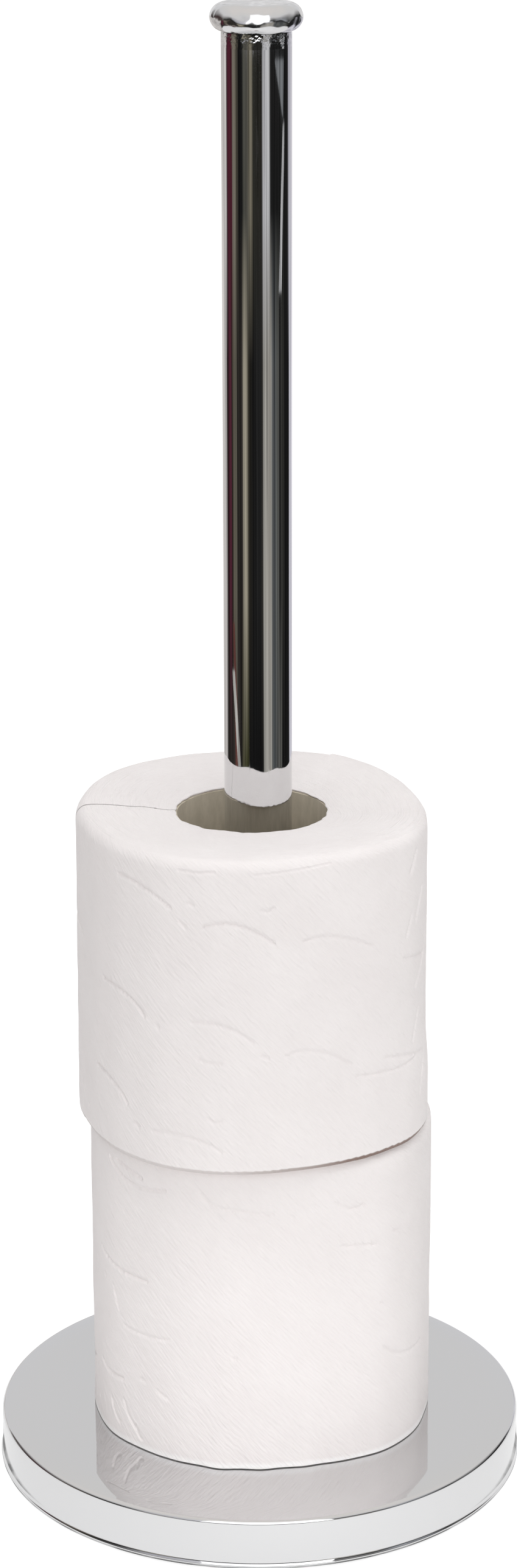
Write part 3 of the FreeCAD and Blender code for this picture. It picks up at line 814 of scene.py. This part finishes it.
def distance_to_marks(turn, height, marks, radius, foot):
    """Distance from each point to the nearest mark on the unrolled wall."""
    nearest = np.full(len(turn), 1.0)
    for mark in marks:
        for (a0, h0), (a1, h1) in zip(mark[:-1], mark[1:]):
            x = np.radians((turn - a0 + 180) % 360 - 180) * radius
            y = height - foot - h0 * MM
            dx, dy = math.radians(a1 - a0) * radius, (h1 - h0) * MM
            size = max(dx * dx + dy * dy, 1e-12)
            t = np.clip((x * dx + y * dy) / size, 0, 1)
            nearest = np.minimum(nearest, np.hypot(x - t * dx, y - t * dy))
    return nearest


PRESS_STEPS = 20  # steps that a pressed mark's depth is rounded to


def press(piece, name, weights, depth):
    """Presses the weighted points in along their normals."""
    group = piece.vertex_groups.new(name=name)
    steps = np.round(np.clip(weights, 0, 1) * PRESS_STEPS).astype(int)
    for step in range(1, PRESS_STEPS + 1):
        same = np.nonzero(steps == step)[0]
        if len(same):
            group.add(same.tolist(), step / PRESS_STEPS, "REPLACE")
    push = piece.modifiers.new(name, "DISPLACE")
    push.vertex_group = name
    push.mid_level = 0
    push.strength = -depth
    apply_all(piece)
    piece.vertex_groups.clear()


def soften(piece, levels):
    smooth = piece.modifiers.new("smooth", "SUBSURF")
    smooth.levels = smooth.render_levels = levels
    apply_all(piece)


def crumple(piece, name, size, depth):
    """Slow lumps over the whole roll."""
    cloud = bpy.data.textures.new(name, "CLOUDS")
    cloud.noise_scale = size
    cloud.noise_depth = 2
    push = piece.modifiers.new(name, "DISPLACE")
    push.texture = cloud
    push.texture_coords = "LOCAL"
    push.mid_level = 0.5
    push.strength = depth
    apply_all(piece)


def loose_end(turn, out, radius, degrees):
    """How far, from 0 to 1, the last sheet's loose end stands proud, fading back round the roll."""
    fade = 55
    behind = (degrees - turn + 180) % 360 - 180
    lying = np.where((behind > 0) & (behind < fade), (1 - behind / fade) ** 2, 0)
    return np.where(out > radius - 7 * MM, lying, 0)


def press_marks(piece, centre, radius, foot, marks, creases, tail):
    """Presses the marks and creases into the outer wall and sets the loose end proud, on a finer mesh there."""
    strokes, faint, dots = marks
    turn, height, out = wall_places(piece, centre, radius)
    inside = radius - 12 * MM
    seam = [[(tail, -1), (tail, 95)]]
    near = distance_to_marks(turn, height, strokes + faint + dots + seam + [c[0] for c in creases], radius, foot)
    near[out < inside] = 1.0
    corners = [np.fromiter(f.vertices, int) for f in piece.data.polygons]
    pick_faces(piece, np.array([near[c].min() < 0.9 * MM for c in corners]))
    bpy.ops.mesh.subdivide(number_cuts=2, smoothness=0)
    put_down()
    turn, height, out = wall_places(piece, centre, radius)
    outside = out > inside
    pressed = [("strokes", strokes, 0.65, 0.62), ("faint", faint, 0.65, 0.42), ("dots", dots, 0.7, 0.42)]
    pressed += [(f"crease{i}", [line], width, depth) for i, (line, width, depth) in enumerate(creases)]
    lifted = loose_end(turn, out, radius, tail)
    for kind, lines, width, depth in pressed:
        off = distance_to_marks(turn, height, lines, radius, foot)
        press(piece, kind, np.where(outside, np.clip(1 - (off / (width * MM)) ** 2, 0, 1) ** 1.5, 0), depth * MM)
    press(piece, "loose_end", lifted, -0.4 * MM)
    return turn, height


def unroll(piece, turn, height, radius):
    """Lays the wall out flat as the UV map of the tissue's crepe."""
    wound = piece.data.uv_layers.new(name=WALL_MAP)
    loops = np.zeros(len(piece.data.loops), int)
    piece.data.loops.foreach_get("vertex_index", loops)
    flat = np.stack([np.radians(turn)[loops] * radius, height[loops]], 1)
    wound.data.foreach_set("uv", flat.ravel())


def roll_paper(name, finish, body, centre, radius, plan, dents, marks, creases, foot_round, back_rise, tail, seed):
    """The wound paper: spun, squashed to its plan of radii every 15 degrees, dented, and pressed with marks.

    marks are its strokes, faint strokes and nicks; tail is the bearing of the loose end.
    """
    low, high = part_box(name)
    foot, top = low.z, high.z
    piece = draw_and_spin("wound_" + name, roll_profile(radius, foot, top, foot_round), centre, STEPS)
    for i, wanted in enumerate(plan):
        pull(piece, centre, radius, -180 + 15 * i, wanted * MM - radius, 14 * MM)
    for degrees, out, reach, bottom, crown in dents:
        pull(piece, centre, radius, degrees, out * MM, reach * MM, foot + bottom * MM, foot + crown * MM)
    shape_opening(piece, centre, top, back_rise, seed)
    soften(piece, 2)
    crumple(piece, name + "_lumps", 0.022, 0.6 * MM)
    here = points_of(piece)
    here[here[:, 2] < foot + 0.3 * MM, 2] = foot
    set_points(piece, here)
    strokes, dots = tissue_marks(seed, (top - foot) / MM)
    own, faint, nicks = ([rounded(line) for line in group] for group in marks)
    turn, height = press_marks(piece, centre, radius, foot, (strokes + own, faint, dots + nicks), creases, tail)
    pick_up(piece)
    bpy.ops.object.shade_smooth_by_angle(angle=math.radians(55))
    unroll(piece, turn, height - foot, radius)
    piece.data.materials.clear()
    piece.data.materials.append(finish)
    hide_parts(name)
    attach(piece, body)


# The cover, the foam pad, and the finishes of the source's own pieces.

def section_round(across, up, radius, start, end, steps):
    """Points on a round of a section, from one bearing to another; 0 points outward and 90 up."""
    turns = [math.radians(start + (end - start) * i / steps) for i in range(steps + 1)]
    return [(across + radius * math.cos(a), up + radius * math.sin(a)) for a in turns]


def pressed_cover(finish):
    """The plated cover: flat top falling a little to a round rim, straight wall, foot bead and rolled-in lip."""
    low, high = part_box("base_cover")
    foot, top, reach = low.z, high.z, high.x
    sheet, bead, edge, fall, crown = 0.8 * MM, 0.8 * MM, 1.4 * MM, 0.5 * MM, 52.97 * MM
    rim, crown_start, lip, hole = reach - 0.5 * MM, reach - 9.1 * MM, reach - 4 * MM, 4.4 * MM
    shoulder, inside, ease = top - fall - edge, rim - sheet, 0.2 * MM
    section = [(lip, foot + ease), (lip + ease, foot), (reach - bead - MM, foot)]
    section += section_round(reach - bead, foot + bead, bead, -90, 33, 10)
    section += [(rim, height) for height in (foot + 1.8 * MM, foot + 2.2 * MM, foot + 6 * MM, shoulder - 2 * MM)]
    section += section_round(rim - edge, shoulder, edge, 0, 81.9, 12)
    section += section_round(crown_start, top - crown, crown, 82.2, 90, 9)
    section += [(crown_start - 0.4 * MM, top), (0.04, top), (0.02, top), (hole + 0.3 * MM, top), (hole, top - ease)]
    section += [(hole, top - sheet), (crown_start, top - sheet), (inside - 0.5 * MM, top - sheet - fall)]
    section += [(inside, top - sheet - fall - 0.5 * MM), (inside, foot + sheet + 0.4 * MM)]
    section += [(inside - 0.4 * MM, foot + sheet), (lip + ease, foot + sheet), (lip, foot + sheet - ease)]
    piece = draw_and_spin("pressed_cover", section, (0, 0), 360)
    pick_up(piece)
    bpy.ops.object.shade_smooth()
    piece.data.materials.append(finish)
    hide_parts("base_cover")
    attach(piece, "stand")


def foam_ring(finish):
    """The foam pad under the weight, a flat ring with soft edges."""
    low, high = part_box("base_pad")
    inner, soft, flat = 15 * MM, 0.6 * MM, (0.05, 0.03)
    section = section_round(high.x - soft, low.z + soft, soft, -90, 0, 3)
    section += section_round(high.x - soft, high.z - soft, soft, 0, 90, 3)
    section += [(radius, high.z) for radius in flat]
    section += section_round(inner + soft, high.z - soft, soft, 90, 180, 3)
    section += section_round(inner + soft, low.z + soft, soft, 180, 270, 3)
    section += [(radius, low.z) for radius in reversed(flat)]
    piece = draw_and_spin("foam_ring", section, (0, 0), 128)
    soften(piece, 1)
    pick_up(piece)
    bpy.ops.object.shade_smooth()
    piece.data.materials.append(finish)
    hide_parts("base_pad")
    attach(piece, "stand")


def dress(names, finish):
    """Gives source nodes their finish."""
    for name in names:
        part = nodes[name]
        part.data.materials.clear()
        part.data.materials.append(finish)


# The stage, then the pieces.

# Soft boxes as (name, place, size, watts), and for the low ones the height they are turned to and their spread.
LAMPS = [
    ("high_box", (0.1, -0.2, 1.7), 1.6, 12),
    ("front_box", (0.22, -1.6, 0.8), 1.2, 3.7),
    ("low_box", (0.16, -0.62, 0.07), 0.3, 0.12, 0.04, 80),
    ("foot_box", (-0.08, -0.62, 0.04), 0.14, 0.016, -0.02, 24),
]

set_camera()
put_down()
lit_floor()
soft_room()
for lamp in LAMPS:
    soft_box(*lamp)
for build in (room_ring, room_wall, room_window):
    put_down()
    build()
put_down()

pressed_cover(chrome_plate("cover_chrome", 35, 0.00006))
dress(["post_tube"], chrome_plate("post_chrome", 25, 0.00001, uneven_top=(0.4118, 0.4158)))
dress(["cap"], chrome_plate("cap_chrome", 190, 0.0011, gloss=0.14, hairline_turn=(0.3, 0, 0)))
dress(["lower_roll_core", "upper_roll_core"], core_board("roll_board"))
dress(["base_weight"], cast_iron("grey_iron"))
foam_ring(foam_sheet("foot_foam"))
dress(["post_gasket"], gasket_plastic("gasket_plastic"))
dress(
    ["post_foot_insert", "post_top_insert", "clamp_bolt", "clamp_washer", "clamp_lock_washer", "cap_stud"],
    zinc_steel("zinc_steel"),
)
# Lower tissue: a pale painted-light band at the foot, with a painted highlight above it.
roll_paper(
    "lower_roll_paper", wound_tissue("lower_tissue", WALL_HEIGHT, (0.95, 0.93, 0.91), 0.5 * MM, 0.75), "lower_roll",
    centre=(0.6 * MM, 0), radius=48.5 * MM, plan=LOWER_PLAN, dents=LOWER_DENTS,
    marks=(LOWER_STROKES, LOWER_FAINT, LOWER_NICKS), creases=[],
    foot_round=0.4 * MM, back_rise=0, tail=118, seed=4,
)
# Upper tissue: a near-black painted shadow band at the foot for the gap between the rolls, with a faint painted
# highlight above it.
roll_paper(
    "upper_roll_paper", wound_tissue("upper_tissue", WALL_HEIGHT, (0.13, 0.05, 0.02), 1.5 * MM, 0.25), "upper_roll",
    centre=(-1.7 * MM, -1.5 * MM), radius=50.5 * MM, plan=UPPER_PLAN, dents=UPPER_DENTS,
    marks=(UPPER_STROKES, UPPER_FAINT, UPPER_NICKS), creases=UPPER_CREASES,
    foot_round=1.2 * MM, back_rise=0.4 * MM, tail=62, seed=9,
)

bpy.context.scene.view_settings.view_transform = "Standard"
